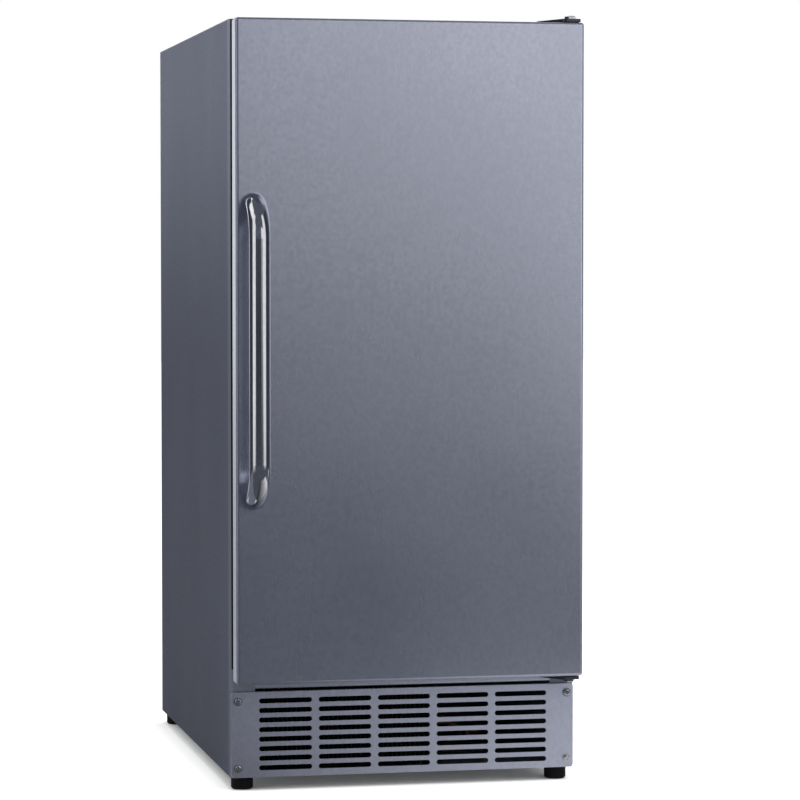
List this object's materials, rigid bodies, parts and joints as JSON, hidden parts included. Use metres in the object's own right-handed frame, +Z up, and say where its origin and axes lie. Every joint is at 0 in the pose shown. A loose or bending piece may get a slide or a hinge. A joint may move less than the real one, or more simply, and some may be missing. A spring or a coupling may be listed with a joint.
{
  "type": "undercounter ice machine",
  "caption": "Narrow built-in ice machine with a stainless right-hinged door, bent tube handle, slotted kick grille and levelling feet; inside are an ice maker, a bin and cooling works.",
  "frame": {"origin": "on the floor under the middle of the bounding box, handle included", "axes": "+Z up, +X to the machine's right seen from the front, the door faces -Y"},
  "size_m": [0.375, 0.624, 0.8225],
  "materials": {
    "stainless_front": "satin",
    "kick_plate_steel": "satin",
    "stainless_case": "satin",
    "galvanised_sheet": "matte",
    "satin_handle": "satin",
    "hinge_steel": "satin",
    "screw_steel": "satin",
    "foot_plastic": "matte",
    "black_plastic": "matte",
    "black_rubber": "matte",
    "gasket_rubber": "matte",
    "white_liner": "satin",
    "bin_plastic": "satin",
    "scoop_plastic": "satin",
    "white_plastic": "satin",
    "insulation_foam": "matte",
    "compressor_paint": "satin",
    "bare_aluminium": "satin",
    "cast_aluminium": "matte",
    "copper_pipe": "satin",
    "grey_plastic": "matte",
    "rocker_plastic": "gloss",
    "arm_wire": "polished",
    "lens_clear": "satin",
    "water_pipe": "satin",
    "valve_plastic": "matte"
  },
  "bodies": {
    "cabinet": {"left_side_panel": "stainless_case", "right_side_panel": "stainless_case", "top_panel": "stainless_case", "back_panel": "galvanised_sheet", "machine_deck": "galvanised_sheet", "cabinet_foam": "insulation_foam", "inner_liner": "white_liner", "lower_front_rail": "kick_plate_steel", "grille_panel": "kick_plate_steel", "grille_screws": "screw_steel", "base_pan": "galvanised_sheet", "foot_nuts": "screw_steel", "rear_cover": "galvanised_sheet", "panel_screws": "screw_steel", "top_hinge_bracket": "hinge_steel", "top_hinge_pin": "screw_steel", "top_hinge_screws": "screw_steel", "bottom_hinge_bracket": "hinge_steel", "bottom_hinge_pin": "screw_steel", "bottom_hinge_screws": "screw_steel", "compressor": "compressor_paint", "compressor_grommets": "black_rubber", "relay_cover": "black_plastic", "condenser": "compressor_paint", "fan_shroud": "galvanised_sheet", "fan_motor": "compressor_paint", "filter_drier": "copper_pipe", "discharge_tube": "copper_pipe", "liquid_tubes": "copper_pipe", "suction_tube": "copper_pipe", "evaporator_plate": "bare_aluminium", "evaporator_tube": "bare_aluminium", "water_valve": "valve_plastic", "water_tube": "water_pipe", "cord_gland": "black_plastic", "ice_mould": "cast_aluminium", "ice_maker_head": "grey_plastic", "stripper_comb": "white_plastic", "fill_cup": "white_plastic", "thermostat_box": "white_liner", "lamp_lens": "lens_clear", "scoop_peg": "white_plastic"},
    "door": {"door_skin": "stainless_front", "door_foam": "insulation_foam", "door_liner": "white_liner", "door_gasket": "gasket_rubber", "door_handle": "satin_handle", "handle_screws": "screw_steel", "hinge_bushes": "black_plastic"},
    "front_left_leveller": {"front_left_foot": "foot_plastic"},
    "front_right_leveller": {"front_right_foot": "foot_plastic"},
    "rear_left_leveller": {"rear_left_foot": "foot_plastic"},
    "rear_right_leveller": {"rear_right_foot": "foot_plastic"},
    "fan": {"fan_blade": "black_plastic"},
    "ejector_shaft": {"ejector": "grey_plastic"},
    "shutoff": {"shutoff_arm": "arm_wire"},
    "rocker": {"power_rocker": "rocker_plastic"},
    "knob": {"thermostat_knob": "white_plastic"},
    "bin": {"ice_bin": "bin_plastic"},
    "scoop": {"ice_scoop": "scoop_plastic"}
  },
  "joints": [
    {"name": "door_hinge", "type": "hinge", "parent": "cabinet", "child": "door", "pos_m": [0.1755, -0.246, 0.4677], "axis": [0, 0, 1], "range_deg": [0, 115]},
    {"name": "front_left_level", "type": "slide", "parent": "cabinet", "child": "front_left_leveller", "axis": [0, 0, -1], "range_m": [0, 0.018]},
    {"name": "front_right_level", "type": "slide", "parent": "cabinet", "child": "front_right_leveller", "axis": [0, 0, -1], "range_m": [0, 0.018]},
    {"name": "rear_left_level", "type": "slide", "parent": "cabinet", "child": "rear_left_leveller", "axis": [0, 0, -1], "range_m": [0, 0.018]},
    {"name": "rear_right_level", "type": "slide", "parent": "cabinet", "child": "rear_right_leveller", "axis": [0, 0, -1], "range_m": [0, 0.018]},
    {"name": "fan_spin", "type": "hinge", "parent": "cabinet", "child": "fan", "pos_m": [-0.0575, -0.144, 0.0666], "axis": [0, 1, 0], "continuous": true},
    {"name": "ejector_turn", "type": "hinge", "parent": "cabinet", "child": "ejector_shaft", "pos_m": [-0.0985, -0.092, 0.695], "axis": [0, 1, 0], "continuous": true},
    {"name": "shutoff_swing", "type": "hinge", "parent": "cabinet", "child": "shutoff", "pos_m": [-0.0515, -0.092, 0.683], "axis": [0, -1, 0], "range_deg": [0, 35]},
    {"name": "rocker_tip", "type": "hinge", "parent": "cabinet", "child": "rocker", "pos_m": [-0.0985, -0.145, 0.695], "axis": [1, 0, 0], "range_deg": [-20, 0]},
    {"name": "knob_turn", "type": "hinge", "parent": "cabinet", "child": "knob", "pos_m": [0.0845, -0.152, 0.75], "axis": [0, 1, 0], "range_deg": [0, 270]},
    {"name": "bin_lift", "type": "slide", "parent": "cabinet", "child": "bin", "axis": [0, 0, 1], "range_m": [0, 0.03]},
    {"name": "scoop_pull", "type": "slide", "parent": "cabinet", "child": "scoop", "axis": [-1, 0, 0], "range_m": [0, 0.036]}
  ]
}
